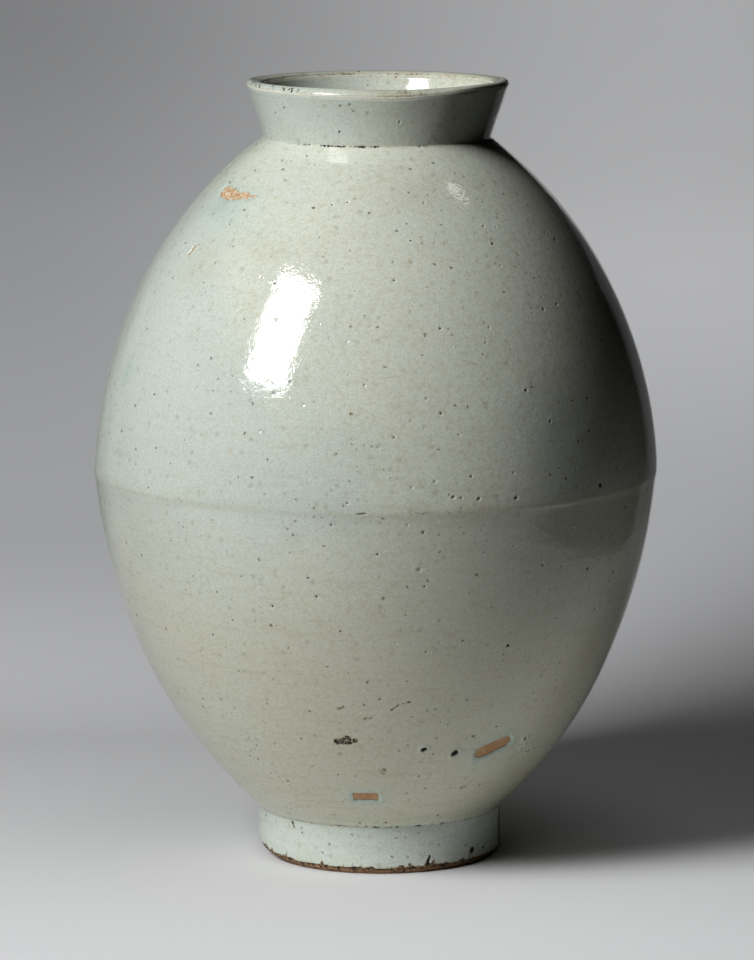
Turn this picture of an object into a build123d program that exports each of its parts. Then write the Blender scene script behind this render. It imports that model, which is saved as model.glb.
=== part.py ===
from build123d import *

import os
from dataclasses import dataclass
from math import cos, degrees, radians, sin, sqrt

# A tall, egg-shaped moon jar in porcelain, thrown as two bowls that are joined rim to rim at the belly.
# The clay is four pieces, two bowls, a neck and a foot ring, held together by three layers of slip.
# Glaze coats it outside, over the lip, inside and under the base, and leaves the standing edge bare.
# Each section is drawn as (radius, height) and turned about the jar's axis.
# Millimetres and degrees. The origin is the centre of the foot where it stands, +Z is up, -Y is the front.

# Overall size of the glazed jar
JAR_HEIGHT = 450.0
BELLY_DIAMETER = 326.4

# Belly seam, where the upper bowl's rim stands out over the lower one
SEAM_HEIGHT = 224.0
SEAM_OVERHANG = 0.5

# Upper bowl, from the belly seam to the neck
UPPER_LEAN = 2.0
SHOULDER_SLOPE = 36.8
UPPER_WALL = 9.0

# Lower bowl, from the belly seam to the floor
LOWER_LEAN = 4.7
FLANK_SLOPE = 42.2
LOWER_WALL = 9.5
BASE_THICKNESS = 12.0
FLOOR_FILLET = 40.0

# Neck collar
NECK_HEIGHT = 32.2
THROAT_DIAMETER = 129.6
MOUTH_DIAMETER = 149.6
THROAT_WALL = 9.0
LIP_WALL = 8.5
NECK_HOLLOW = 0.8
LIP_CREST_INSET = 3.8
LIP_OUTER_DROP = 3.4
LIP_INNER_DROP = 1.8

# Foot ring
FOOT_HEIGHT = 28.0
FOOT_DIAMETER = 140.0
FOOT_WALL = 11.0
FOOT_OUTER_CHAMFER = 2.0
FOOT_INNER_CHAMFER = 1.5
BASE_RECESS = 18.0

# Slip in the three joints
BELLY_SLIP = 1.2
BELLY_BEAD_RADIUS = 3.0
NECK_SLIP = 1.0
FOOT_SLIP = 1.0

# Glaze
GLAZE = 0.8
GLAZE_POOL_RADIUS = 2.5
BARE_BAND = 3.2
LIP_WEAR_RADIUS = 1.2

# Places and radii that follow from the sizes above
BELLY_R = BELLY_DIAMETER / 2 - GLAZE
LIP_HEIGHT = JAR_HEIGHT - GLAZE
THROAT_R = THROAT_DIAMETER / 2
THROAT_INNER_R = THROAT_R - THROAT_WALL
MOUTH_R = MOUTH_DIAMETER / 2
FOOT_R = FOOT_DIAMETER / 2
FOOT_INNER_R = FOOT_R - FOOT_WALL
NECK_JOINT = LIP_HEIGHT - NECK_HEIGHT
FLOOR_HEIGHT = BASE_RECESS + BASE_THICKNESS
OUTER_ARRIS = (MOUTH_R, LIP_HEIGHT - LIP_OUTER_DROP)
INNER_ARRIS = (MOUTH_R - LIP_WALL, LIP_HEIGHT - LIP_INNER_DROP)


@dataclass
class Skip:
    """A bare patch that the glaze missed. The azimuth runs from the front towards +X."""

    azimuth: float
    height: float
    length: float
    width: float
    tilt: float


SKIPS = [
    Skip(azimuth=-55.0, height=NECK_JOINT - 27.0, length=34.0, width=6.0, tilt=0.0),
    Skip(azimuth=34.5, height=FOOT_HEIGHT + 52.0, length=24.0, width=6.0, tilt=22.0),
    Skip(azimuth=-4.0, height=FOOT_HEIGHT + 22.5, length=16.0, width=5.0, tilt=0.0),
]


def heading(angle):
    """A direction in the section plane, counted from the radius outwards."""
    return (cos(radians(angle)), sin(radians(angle)))


def region(radius_from, radius_to, height_from, height_to):
    """A rectangle of the section plane."""
    size = (radius_to - radius_from, height_to - height_from)
    return Pos(radius_from, height_from) * Rectangle(*size, align=(Align.MIN, Align.MIN))


def band(height_from, height_to):
    """The section plane between two heights, from the axis to outside the jar."""
    return region(0, 2 * BELLY_R, height_from, height_to)


def swell(start, start_heading, end, end_heading, turn, lap):
    """Two tangent arcs between two points and headings, carried on past the end by a lap.

    The arcs meet midway between the ends of two equal tangents. A turn of 1 is to the left, -1 to the right.
    """
    leave, arrive = Vector(heading(start_heading)), Vector(heading(end_heading))
    chord = Vector(end) - Vector(start)
    along = chord.dot(leave + arrive)
    spread = 2 * (1 - leave.dot(arrive))
    reach = (sqrt(along**2 + spread * chord.dot(chord)) - along) / spread
    meeting = (Vector(start) + Vector(end) + (leave - arrive) * reach) * 0.5
    first = TangentArc(start, meeting, tangent=leave)
    second = TangentArc(meeting, end, tangent=first % 1)
    second_sweep = degrees((second.length + lap) / second.radius)
    return [first, JernArc(meeting, first % 1, second.radius, turn * second_sweep)]


def moved_in(arc, distance):
    """An arc about the same centre, nearer to it by a distance."""
    places = [arc @ share for share in (0, 0.5, 1)]
    return ThreePointArc(*[place + (arc.arc_center - place).normalized() * distance for place in places])


def filled(arcs, inset):
    """What a chain of tangent arcs encloses with the jar's axis, after they are moved in."""
    outline = [moved_in(arc, inset) for arc in arcs]
    start, end = outline[0] @ 0, outline[-1] @ 1
    to_axis = Polyline(end, (0, end.Y), (0, start.Y), start)
    return make_face([*outline, *to_axis.edges()])


def upper_wall():
    """The upper bowl's wall: belly, then a shoulder that reaches in under the neck, with its mouth cut."""
    rim, seat = (BELLY_R, SEAM_HEIGHT), (THROAT_R, NECK_JOINT)
    arcs = swell(rim, 90 + UPPER_LEAN, seat, 180 - SHOULDER_SLOPE, turn=1, lap=2 * THROAT_WALL)
    mouth = region(0, THROAT_INNER_R, 0, 2 * JAR_HEIGHT)
    return filled(arcs, 0) - filled(arcs, UPPER_WALL) - mouth


def lower_wall():
    """The lower bowl's wall, down past the foot joint to a flat base, with a rounded floor inside."""
    rim, seat = (BELLY_R - SEAM_OVERHANG, SEAM_HEIGHT), (FOOT_R, FOOT_HEIGHT)
    arcs = swell(rim, -90 - LOWER_LEAN, seat, FLANK_SLOPE - 180, turn=-1, lap=2 * FOOT_HEIGHT)
    outside = filled(arcs, 0) & band(BASE_RECESS, SEAM_HEIGHT)
    hollow = filled(arcs, LOWER_WALL) & band(FLOOR_HEIGHT, JAR_HEIGHT)
    floor_edge = hollow.vertices().group_by(Axis.Y)[0].sort_by(Axis.X)[-1]
    return outside - fillet(floor_edge, FLOOR_FILLET)


def neck_wall():
    """The flaring neck with its rounded lip, down to the middle of its joint."""
    flare = SagittaArc((THROAT_R, NECK_JOINT), OUTER_ARRIS, -NECK_HOLLOW)
    crest = (MOUTH_R - LIP_CREST_INSET, LIP_HEIGHT)
    outer_lip = TangentArc(crest, OUTER_ARRIS, tangent=heading(0))
    inner_lip = TangentArc(crest, INNER_ARRIS, tangent=heading(180))
    bore_and_seat = Polyline(INNER_ARRIS, (THROAT_INNER_R, NECK_JOINT), (THROAT_R, NECK_JOINT))
    return make_face([flare, outer_lip, inner_lip, *bore_and_seat.edges()])


def foot_wall():
    """The foot ring as turned, before its top is fitted to the lower bowl."""
    ring = region(FOOT_INNER_R, FOOT_R, 0, FOOT_HEIGHT)
    ring = chamfer(ring.vertices().sort_by_distance((FOOT_R, 0))[0], FOOT_OUTER_CHAMFER)
    return chamfer(ring.vertices().sort_by_distance((FOOT_INNER_R, 0))[0], FOOT_INNER_CHAMFER)


def walls():
    """The four walls, each up to the middle of its joints, and the bead of slip inside the belly seam."""
    upper = upper_wall() & band(SEAM_HEIGHT, NECK_JOINT)
    lower = lower_wall()
    foot = foot_wall() - lower
    bead = Pos(BELLY_R - UPPER_WALL, SEAM_HEIGHT) * Circle(BELLY_BEAD_RADIUS) - upper - lower
    return {"upper": upper, "lower": lower, "neck": neck_wall(), "foot": foot, "bead": bead}


def clay_sections(wall):
    """The seven clay pieces: each joint's slip, and what it leaves of the walls that it joins."""
    belly_layer = band(SEAM_HEIGHT - BELLY_SLIP / 2, SEAM_HEIGHT + BELLY_SLIP / 2)
    neck_layer = band(NECK_JOINT - NECK_SLIP / 2, NECK_JOINT + NECK_SLIP / 2)
    foot_layer = offset(wall["lower"], FOOT_SLIP)
    return {
        "lower_bowl": wall["lower"] - belly_layer,
        "upper_bowl": wall["upper"] - belly_layer - neck_layer,
        "neck_collar": wall["neck"] - neck_layer,
        "foot_ring": wall["foot"] - foot_layer,
        "belly_slip": (wall["lower"] & belly_layer) + (wall["upper"] & belly_layer) + wall["bead"],
        "neck_slip": (wall["upper"] & neck_layer) + (wall["neck"] & neck_layer),
        "foot_slip": wall["foot"] & foot_layer,
    }


def glaze_sections(wall):
    """The glaze, broken where the foot was wiped bare and where both edges of the lip have worn."""
    body = Sketch() + list(wall.values())
    coat = offset(body, GLAZE)
    joints = [(THROAT_R, NECK_JOINT), (FOOT_R, FOOT_HEIGHT)]
    corners = [coat.vertices().sort_by_distance(joint)[0] for joint in joints]
    coat = fillet(corners, GLAZE_POOL_RADIUS) - body
    coat &= band(BARE_BAND, 2 * JAR_HEIGHT)
    for arris in (OUTER_ARRIS, INNER_ARRIS):
        coat -= Pos(*arris) * Circle(LIP_WEAR_RADIUS)
    inwards_first = sorted(coat.faces(), key=lambda face: face.bounding_box().max.X)
    names = ("base_glaze", "lip_glaze", "inner_glaze", "outer_glaze")
    return dict(zip(names, inwards_first, strict=True))


def skip_cutter(skip):
    """A rounded bar from the axis outwards, through the glaze at a bare patch."""
    outwards = heading(skip.azimuth - 90)
    sideways = heading(skip.azimuth)
    face = Plane((0, 0, skip.height), x_dir=sideways, z_dir=outwards)
    return extrude(face * Rot(Z=skip.tilt) * SlotOverall(skip.length, skip.width), 2 * BELLY_R)


def turned(section):
    """A section, turned about the jar's axis."""
    return revolve(Plane.XZ * section, Axis.Z)


def main():
    wall = walls()
    sections = {**clay_sections(wall), **glaze_sections(wall)}
    pieces = {name: turned(section) for name, section in sections.items()}
    pieces["outer_glaze"] -= [skip_cutter(skip) for skip in SKIPS]
    os.makedirs("parts", exist_ok=True)
    for name, piece in pieces.items():
        export_step(piece, f"parts/{name}.step")


main()
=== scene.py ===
import math
from dataclasses import dataclass, field
from functools import partial, reduce

import bmesh
import bpy
import numpy as np
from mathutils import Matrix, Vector


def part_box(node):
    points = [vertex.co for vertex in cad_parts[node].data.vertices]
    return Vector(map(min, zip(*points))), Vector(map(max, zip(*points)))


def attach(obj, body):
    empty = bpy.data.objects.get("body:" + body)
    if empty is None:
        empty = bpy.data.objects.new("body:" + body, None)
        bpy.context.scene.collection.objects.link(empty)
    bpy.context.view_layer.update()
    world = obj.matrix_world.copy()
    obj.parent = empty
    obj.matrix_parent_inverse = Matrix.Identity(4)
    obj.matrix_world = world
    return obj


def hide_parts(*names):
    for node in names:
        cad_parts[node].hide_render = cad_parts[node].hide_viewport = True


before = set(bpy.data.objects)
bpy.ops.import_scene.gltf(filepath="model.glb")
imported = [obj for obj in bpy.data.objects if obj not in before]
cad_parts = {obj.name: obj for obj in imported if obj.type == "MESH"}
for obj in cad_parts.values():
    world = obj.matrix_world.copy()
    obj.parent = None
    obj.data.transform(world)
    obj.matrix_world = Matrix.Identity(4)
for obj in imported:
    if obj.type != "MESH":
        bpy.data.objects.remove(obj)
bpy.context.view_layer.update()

# A tall moon jar with a worn, pitted blue-white glaze, on a paper sweep in a dark studio with five softboxes.
# Shapes are worked out in millimetres, as (radius, height) outlines that are wrapped round the jar's axis.
# An azimuth is in degrees from the front, -Y, towards +X. A mark's place was measured on the photograph.
# Bumps in azimuth are listed as (amount, centre, width), and random wanders as (amount, size).

MM = 0.001
TURN = 360.0

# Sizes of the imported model, in millimetres


def reach(node):
    """The largest radius of a node."""
    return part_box(node)[1].x / MM


def bottom(node):
    """The lowest height of a node."""
    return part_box(node)[0].z / MM


def top(node):
    """The highest height of a node."""
    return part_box(node)[1].z / MM


GLAZE = 0.8
BELLY_R = reach("outer_glaze") - GLAZE
SEAM = (top("lower_bowl") + bottom("upper_bowl")) / 2
NECK_JOINT = (top("upper_bowl") + bottom("neck_collar")) / 2
LIP = top("neck_collar")
MOUTH_R = reach("neck_collar")
FOOT_R = reach("foot_ring")
FOOT_JOINT = top("foot_slip")
RECESS = bottom("lower_bowl")
BARE_EDGE = bottom("outer_glaze")

# Outline of the clay, as in the solids
SEAM_OVERHANG = 0.5
UPPER_LEAN = 2.0
SHOULDER_SLOPE = 36.8
UPPER_WALL = 9.0
LOWER_LEAN = 4.7
FLANK_SLOPE = 42.2
LOWER_WALL = 9.5
BASE_THICKNESS = 12.0
FLOOR = RECESS + BASE_THICKNESS
THROAT_R = 64.8
THROAT_WALL = 9.0
THROAT_INNER_R = THROAT_R - THROAT_WALL
NECK_HOLLOW = 0.8
LIP_WALL = 8.5
LIP_CREST_INSET = 3.8
LIP_OUTER_DROP = 3.4
LIP_INNER_DROP = 1.8
FOOT_WALL = 11.0
FOOT_INNER_R = FOOT_R - FOOT_WALL
FOOT_OUTER_CHAMFER = 2.0
FOOT_INNER_CHAMFER = 1.5
BEAD_R = 3.0
CREST = np.array([MOUTH_R - LIP_CREST_INSET, LIP])
OUTER_ARRIS = np.array([MOUTH_R, LIP - LIP_OUTER_DROP])
INNER_ARRIS = np.array([MOUTH_R - LIP_WALL, LIP - LIP_INNER_DROP])
NECK_SEAT = np.array([THROAT_R, NECK_JOINT])
FOOT_SEAT = np.array([FOOT_R, FOOT_JOINT])
LOWER_RIM = np.array([BELLY_R - SEAM_OVERHANG, SEAM])
UPPER_RIM = np.array([BELLY_R, SEAM])

# Random wander and soft steps

LATTICE = 48


def wander(points, size, seed):
    """Smooth random values from -1 to 1 at points, in bumps about a size across."""
    lattice = np.random.default_rng(seed).uniform(-1, 1, (LATTICE,) * 3)
    cells = np.asarray(points) / size
    base = np.floor(cells).astype(int)
    part = cells - base
    part = part * part * (3 - 2 * part)
    total = np.zeros(len(cells))
    for corner in np.ndindex(2, 2, 2):
        index = (base + corner) % LATTICE
        weight = np.where(corner, part, 1 - part).prod(axis=1)
        total += weight * lattice[tuple(index.T)]
    return total


def wanders(points, bumps, seed):
    """A sum of random wanders, with seeds that count up from the first."""
    return sum(amount * wander(points, size, seed + i) for i, (amount, size) in enumerate(bumps))


def ramp(value, start, end):
    """A soft step from 0 at the start to 1 at the end."""
    share = np.clip((np.asarray(value, float) - start) / (end - start), 0, 1)
    return share * share * (3 - 2 * share)


def hump(value, centre, width):
    """A soft bump that is 1 at its centre."""
    return np.exp(-(((value - centre) / width) ** 2))


def turned_from(azimuth, centre):
    """The azimuth from a centre, between -180 and 180."""
    return (np.asarray(azimuth) - centre + TURN / 2) % TURN - TURN / 2


def bells(azimuth, bumps):
    """A sum of soft bumps in azimuth."""
    return sum(amount * hump(turned_from(azimuth, centre), 0, width) for amount, centre, width in bumps)


def around(azimuth, radius, height):
    """Places round the axis, true to the circle."""
    angle = np.radians(azimuth)
    return np.stack([radius * np.sin(angle), -radius * np.cos(angle), height + 0 * angle], axis=1)


# How far the thrown jar is out of true, read from its outline in the photograph. A lean is (height, amount)

LEANS_LOW = [(0, 1.2), (28, 1.3), (47, 1.75), (75, 0.9), (105, 0.0), (135, -0.8), (220, -1.35)]
LEANS_HIGH = [(235, -0.6), (410, -0.6), (424, 0.5), (450, 0.5)]
LEANS = LEANS_LOW + LEANS_HIGH
LEAN_SPAN = (-60, 520)
LEAN_EASE = 8
WAVER = 0.22
WAVER_SIZE = 55.0
WAVER_FULL = 40.0
RIM_WAVE = 0.35
RIM_WAVE_SIZE = 26.0
RIM_DIPS = [(0.55, 10, 9), (-1.4, 52, 22), (0.9, -150, 14)]
RIM_ENDS = [(2.0, -90, 30), (2.0, 92, 28)]
RIM_UP = 0.4
RIM_LOWS = [(0.6, 4, 16), (0.3, 28, 12)]
RIM_UNEVEN = (NECK_JOINT + 8, LIP - 4)
RIM_BEVEL = (CREST[0] - 1, MOUTH_R)
SEAM_SAG = 1.5
SAGS = [(1.0, 13, 26), (0.7, -72, 22)]
SAG_START = 14.0
SAG_END = 70.0
FOOT_WORN = [(3.2, -88, 32)]
FOOT_WORN_TOP = 9.0
FOOT_WORN_IN = 0.3


def lean(height):
    """How far the axis stands to the right at a height."""
    heights = np.arange(*LEAN_SPAN)
    known = np.interp(heights, *zip(*LEANS))
    half = 3 * LEAN_EASE
    kernel = hump(np.arange(-half, half + 1), 0, LEAN_EASE)
    smooth = np.convolve(known, kernel / kernel.sum(), mode="same")
    return np.interp(height, heights[half:-half], smooth[half:-half])


def rim_drop(azimuth):
    """How far the lip's outer edge dips: a wide bevel right of the front, and a narrow one further round."""
    ring = around(azimuth, MOUTH_R, 0.0)
    dips = bells(azimuth, RIM_DIPS) - RIM_UP - bells(azimuth, RIM_ENDS)
    return dips + RIM_WAVE * wander(ring, RIM_WAVE_SIZE, seed=5)


def rim_lift(azimuth):
    """How far the lip's crest rises: low at the front, uneven all round."""
    ring = around(azimuth, MOUTH_R, 0.0)
    return RIM_WAVE * wander(ring, 2 * RIM_WAVE_SIZE, seed=6) - bells(azimuth, RIM_LOWS)


def sag(azimuth, height):
    """How far the lower bowl falls back under the belly seam, right of the front and at the left."""
    below = np.maximum(SEAM - height, 0)
    return SEAM_SAG * (1 - np.exp(-below / SAG_START)) * np.exp(-below / SAG_END) * bells(azimuth, SAGS)


def thrown(azimuth, radius, height):
    """Places on the jar as it was thrown, for any piece of it."""
    ring = around(azimuth, radius, height)
    worn = bells(azimuth, FOOT_WORN) * (1 - ramp(height, 0, FOOT_WORN_TOP))
    waver = WAVER * wander(ring, WAVER_SIZE, seed=1) * ramp(height, 0, WAVER_FULL)
    radius = radius + waver - sag(azimuth, height) - FOOT_WORN_IN * worn
    height = height + worn
    near_lip = ramp(height, *RIM_UNEVEN)
    height = height + near_lip * rim_lift(azimuth)
    height = height - near_lip * rim_drop(azimuth) * ramp(radius, *RIM_BEVEL)
    places = around(azimuth, radius, height)
    places[:, 0] += lean(height)
    return places


# Outlines, which are drawn in even steps and eased over a length at their corners

STEP = 0.25
TRIM = 2
EASE = 0.7
LIP_EASE = 0.35
FOOT_EASE = 0.4
SEAM_EASE = 2.0
RECESS_EASE = 3.0
FLOOR_EASE = 17.0
BORE_GAP = 1.0
LIP_FLAT = 0.6


def heading(angle):
    """A direction in the outline's plane, counted from the radius outwards."""
    return np.array([math.cos(math.radians(angle)), math.sin(math.radians(angle))])


def line(start, end):
    """Points of a straight run."""
    count = max(2, int(math.dist(start, end) / STEP))
    return np.linspace(start, end, count)


def arc(start, direction, end):
    """Points of the arc that leaves the start in a direction and comes to the end."""
    chord = np.subtract(end, start)
    sideways = np.array([-direction[1], direction[0]])
    half = math.atan2(chord @ sideways, chord @ direction)
    radius = math.hypot(*chord) / (2 * math.sin(half))
    count = max(3, int(abs(2 * half * radius) / STEP))
    sweep = np.linspace(0, 2 * half, count)[:, None]
    return start + radius * (np.sin(sweep) * direction + (1 - np.cos(sweep)) * sideways)


def swell(start, leave, end, arrive):
    """Two tangent arcs between two points and headings, which meet between equal tangents."""
    chord = end - start
    along = chord @ (leave + arrive)
    spread = 2 * (1 - leave @ arrive)
    tangent = (math.sqrt(along**2 + spread * (chord @ chord)) - along) / spread
    meeting = (start + end + (leave - arrive) * tangent) / 2
    first = arc(start, leave, meeting)
    second = arc(end, -arrive, meeting)[::-1]
    return np.concatenate([first, second[1:]])


def normals(points):
    """Unit normals on the right-hand side of an outline."""
    run = np.gradient(points, axis=0)
    run /= np.hypot(*run.T)[:, None]
    return np.stack([run[:, 1], -run[:, 0]], axis=1)


def moved(points, distance):
    """An outline, moved to its right-hand side."""
    return points + distance * normals(points)


def running(points):
    """The running length at each point of an outline."""
    return np.concatenate([[0], np.cumsum(np.hypot(*np.diff(points, axis=0).T))])


def eased(points, over):
    """An outline in even steps, with its corners eased."""
    lengths = running(points)
    even = np.arange(0, lengths[-1], STEP)
    points = np.stack([np.interp(even, lengths, column) for column in points.T], axis=1)
    half = int(3 * over / STEP)
    kernel = hump(np.arange(-half, half + 1) * STEP, 0, over)
    before = points[0] + np.arange(-half, 0)[:, None] * (points[1] - points[0])
    after = points[-1] + np.arange(1, half + 1)[:, None] * (points[-1] - points[-2])
    padded = np.concatenate([before, points, after])
    return np.stack([np.convolve(column, kernel / kernel.sum(), mode="valid") for column in padded.T], axis=1)


def closed(points, over):
    """An outline that goes all round, eased and brought back to its start."""
    points = eased(points, over)
    return np.concatenate([points, points[:1]])


def bridged(first, second, cut):
    """Two runs that meet at a corner, with a curve across it that starts and ends a cut away."""
    corner = first[-1]
    first = first[np.hypot(*(first - corner).T) > cut]
    second = second[np.hypot(*(second - corner).T) > cut]
    share = np.linspace(0, 1, int(2 * cut / STEP))[1:-1, None]
    curve = (1 - share) ** 2 * first[-1] + 2 * share * (1 - share) * corner + share**2 * second[0]
    return np.concatenate([first, curve, second])


def flattened(points, share):
    """A run, brought nearer to its chord by a share."""
    return points + share * (np.linspace(points[0], points[-1], len(points)) - points)


UPPER_CLAY = swell(UPPER_RIM, heading(90 + UPPER_LEAN), NECK_SEAT, heading(180 - SHOULDER_SLOPE))
LOWER_CLAY = swell(LOWER_RIM, heading(-90 - LOWER_LEAN), FOOT_SEAT, heading(FLANK_SLOPE - 180))[::-1]
FLARE_RISE = OUTER_ARRIS - NECK_SEAT
FLARE_HALF = math.degrees(2 * math.atan(2 * NECK_HOLLOW / math.hypot(*FLARE_RISE)))
FLARE_START = heading(math.degrees(math.atan2(FLARE_RISE[1], FLARE_RISE[0])) + FLARE_HALF)
NECK_CLAY = arc(NECK_SEAT, FLARE_START, OUTER_ARRIS)
OUTER_LIP_CLAY = flattened(arc(CREST, heading(0), OUTER_ARRIS), LIP_FLAT)[::-1]
INNER_LIP_CLAY = arc(CREST, heading(180), INNER_ARRIS)


def outside():
    """The finished outside, from the stand up to the lip's outer edge."""
    lower = moved(LOWER_CLAY, GLAZE)
    upper = moved(UPPER_CLAY, GLAZE)
    neck = moved(NECK_CLAY, GLAZE)
    lower = lower[lower[:, 0] > FOOT_R + GLAZE]
    foot = line((FOOT_R + GLAZE, 0.0), lower[0])
    upper = upper[upper[:, 0] > np.interp(upper[:, 1], neck[:, 1], neck[:, 0])]
    neck = neck[neck[:, 1] > upper[-1, 1]]
    belly = eased(np.concatenate([lower[: -2 * TRIM], upper[TRIM:]]), SEAM_EASE)
    return eased(np.concatenate([foot[:-TRIM], belly, neck[1:]]), EASE)


def over_lip():
    """The finished lip, from its outer edge over the crest to its inner edge."""
    inner = moved(INNER_LIP_CLAY, GLAZE)
    return eased(np.concatenate([moved(OUTER_LIP_CLAY, GLAZE), inner[1:]]), LIP_EASE)


def inside():
    """The finished inside, from the lip's inner edge down to the middle of the floor."""
    bore = moved(line(INNER_ARRIS, (THROAT_INNER_R, NECK_JOINT)), GLAZE)
    upper = moved(UPPER_CLAY[::-1], UPPER_WALL + GLAZE)
    lower = moved(LOWER_CLAY[::-1], LOWER_WALL + GLAZE)
    upper = upper[upper[:, 0] > THROAT_INNER_R - GLAZE]
    bore = bore[bore[:, 1] > upper[0, 1] + BORE_GAP]
    lower = lower[lower[:, 1] > FLOOR + GLAZE]
    wall = np.concatenate([bore, upper, lower[2 * TRIM :]])
    floor = line(wall[-1], (0.0, wall[-1, 1]))
    points = eased(bridged(wall, floor, FLOOR_EASE), EASE)
    bead = (BEAD_R + GLAZE) ** 2 - (points[:, 1] - SEAM) ** 2
    over_bead = BELLY_R - UPPER_WALL - np.sqrt(np.maximum(bead, 0)) + (bead < 0) * BELLY_R
    points[:, 0] = np.minimum(points[:, 0], over_bead)
    points[-1, 0] = 0.0
    return points


def under_base():
    """The finished recess under the base, from its middle out and down to the bare edge of the foot."""
    corner = (FOOT_INNER_R - GLAZE, RECESS - GLAZE)
    roof = line((0.0, RECESS - GLAZE), corner)
    wall = line(corner, (FOOT_INNER_R - GLAZE, BARE_EDGE))
    points = eased(bridged(roof, wall, RECESS_EASE), EASE)
    points[0, 0] = 0.0
    return points


def collar_section():
    """The clay neck all round, from its seat."""
    bore = line(INNER_ARRIS, (THROAT_INNER_R, bottom("neck_collar")))
    seat = line(bore[-1], (THROAT_R, bottom("neck_collar")))
    flare = NECK_CLAY[NECK_CLAY[:, 1] > seat[-1, 1]]
    lip = np.concatenate([OUTER_LIP_CLAY, INNER_LIP_CLAY[1:]])
    return closed(np.concatenate([seat[TRIM:-TRIM], flare, lip, bore[:-TRIM]]), LIP_EASE)


def foot_section():
    """The clay foot ring all round, from the middle of the face that it stands on."""
    stand = [((FOOT_R + FOOT_INNER_R) / 2, 0.0), (FOOT_R - FOOT_OUTER_CHAMFER, 0.0)]
    side = [(FOOT_R, FOOT_OUTER_CHAMFER), (FOOT_R, top("foot_ring")), (FOOT_INNER_R, bottom("foot_slip"))]
    bore = [(FOOT_INNER_R, FOOT_INNER_CHAMFER), (FOOT_INNER_R + FOOT_INNER_CHAMFER, 0.0), stand[0]]
    corners = stand + side + bore
    return closed(np.concatenate([line(*ends)[:-1] for ends in zip(corners, corners[1:])]), FOOT_EASE)


class Outline:
    """An outline with its running length, so that a cloth can be wrapped along it."""

    def __init__(self, points):
        self.points = points
        self.lengths = running(points)
        self.normals = normals(points)
        self.total = self.lengths[-1]

    def at(self, length):
        """Radius, height and normal at running lengths."""
        return [np.interp(length, self.lengths, column) for column in (*self.points.T, *self.normals.T)]

    def ring(self, azimuth, length):
        """Radius, height and place round the axis at running lengths."""
        radius, height, *_ = self.at(length)
        return radius, height, around(azimuth, radius, height)

    def length_at(self, height):
        """The running length at a height, where the outline only rises."""
        return np.interp(height, self.points[:, 1], self.lengths)


OUTSIDE = Outline(outside())
LIP_LINE = Outline(over_lip())
INSIDE = Outline(inside())
BASE = Outline(under_base())
COLLAR = Outline(collar_section())
FOOT = Outline(foot_section())

# Cloths, which are flat grids of azimuth and running length until they are wrapped

GRADES = 4000
FINE_SHARE = 0.3
TOUCHING = STEP / 100
MERGE_DIGITS = 4
SHARP_ANGLE = 60


def graded(start, end, coarse, fine, places):
    """Running lengths in coarse steps, with fine steps at some places, each given with its spread."""
    run = np.linspace(start, end, GRADES)
    step = np.full(len(run), coarse)
    for place, spread in places:
        away = ramp(np.abs(run - place), FINE_SHARE * spread, spread)
        step = np.minimum(step, fine + (coarse - fine) * away)
    count = np.concatenate([[0], np.cumsum((1 / step)[:-1] * np.diff(run))])
    return np.interp(np.linspace(0, count[-1], int(round(count[-1])) + 1), count, run)


def cloth(columns, rows):
    """A flat grid: x is the azimuth and y the running length."""
    flat = bmesh.new()
    azimuths = np.linspace(-TURN / 2, TURN / 2, columns + 1)
    grid = [[flat.verts.new((a, s, 0)) for a in azimuths] for s in rows]
    for low, high in zip(grid, grid[1:]):
        for i in range(columns):
            flat.faces.new((low[i], low[i + 1], high[i + 1], high[i]))
    return flat


def divided(flat, bands, cuts):
    """Divides a cloth's rows crosswise in some bands of its running length."""
    rows = []
    for edge in flat.edges:
        low, high = sorted(vert.co.y for vert in edge.verts)
        if high - low < TOUCHING and any(start <= low <= end for start, end in bands):
            rows.append(edge)
    bmesh.ops.subdivide_edges(flat, edges=rows, cuts=cuts, use_grid_fill=True, use_single_edge=True)


def flat_middles(parts):
    """The middles of a cloth's faces, as azimuths and running lengths."""
    return np.array([part.calc_center_median()[:2] for part in parts]).T


def wrapped(name, flat, outline, shape, thickness=0.0):
    """A cloth wrapped round the jar, closed with a back and rims where it has a thickness.

    The shape gives new azimuths, new running lengths, heights over the outline and colour marks.
    """
    flat.verts.index_update()
    azimuth, length = np.array([vert.co[:2] for vert in flat.verts]).T
    faces = [[vert.index for vert in face.verts] for face in flat.faces]
    loops = [loop for edge in flat.edges if edge.is_boundary for loop in edge.link_loops]
    rims = [(loop.vert.index, loop.link_loop_next.vert.index) for loop in loops]
    flat.free()
    seam = np.abs(np.abs(azimuth) - TURN / 2) < TOUCHING
    azimuth, length, lift, marks = shape(azimuth, length)
    radius, height, out_r, out_z = outline.at(length)
    places = thrown(azimuth, np.maximum(radius + lift * out_r, 0), height + lift * out_z)
    if thickness:
        back = thrown(azimuth, np.maximum(radius - thickness * out_r, 0), height - thickness * out_z)
        count = len(places)
        places = np.concatenate([places, back])
        marks = np.concatenate([marks, marks])
        walls = [[b, a, a + count, b + count] for a, b in rims if not (seam[a] and seam[b])]
        faces = faces + [[index + count for index in reversed(face)] for face in faces] + walls
    return mesh_piece(name, places, faces, marks)


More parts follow.
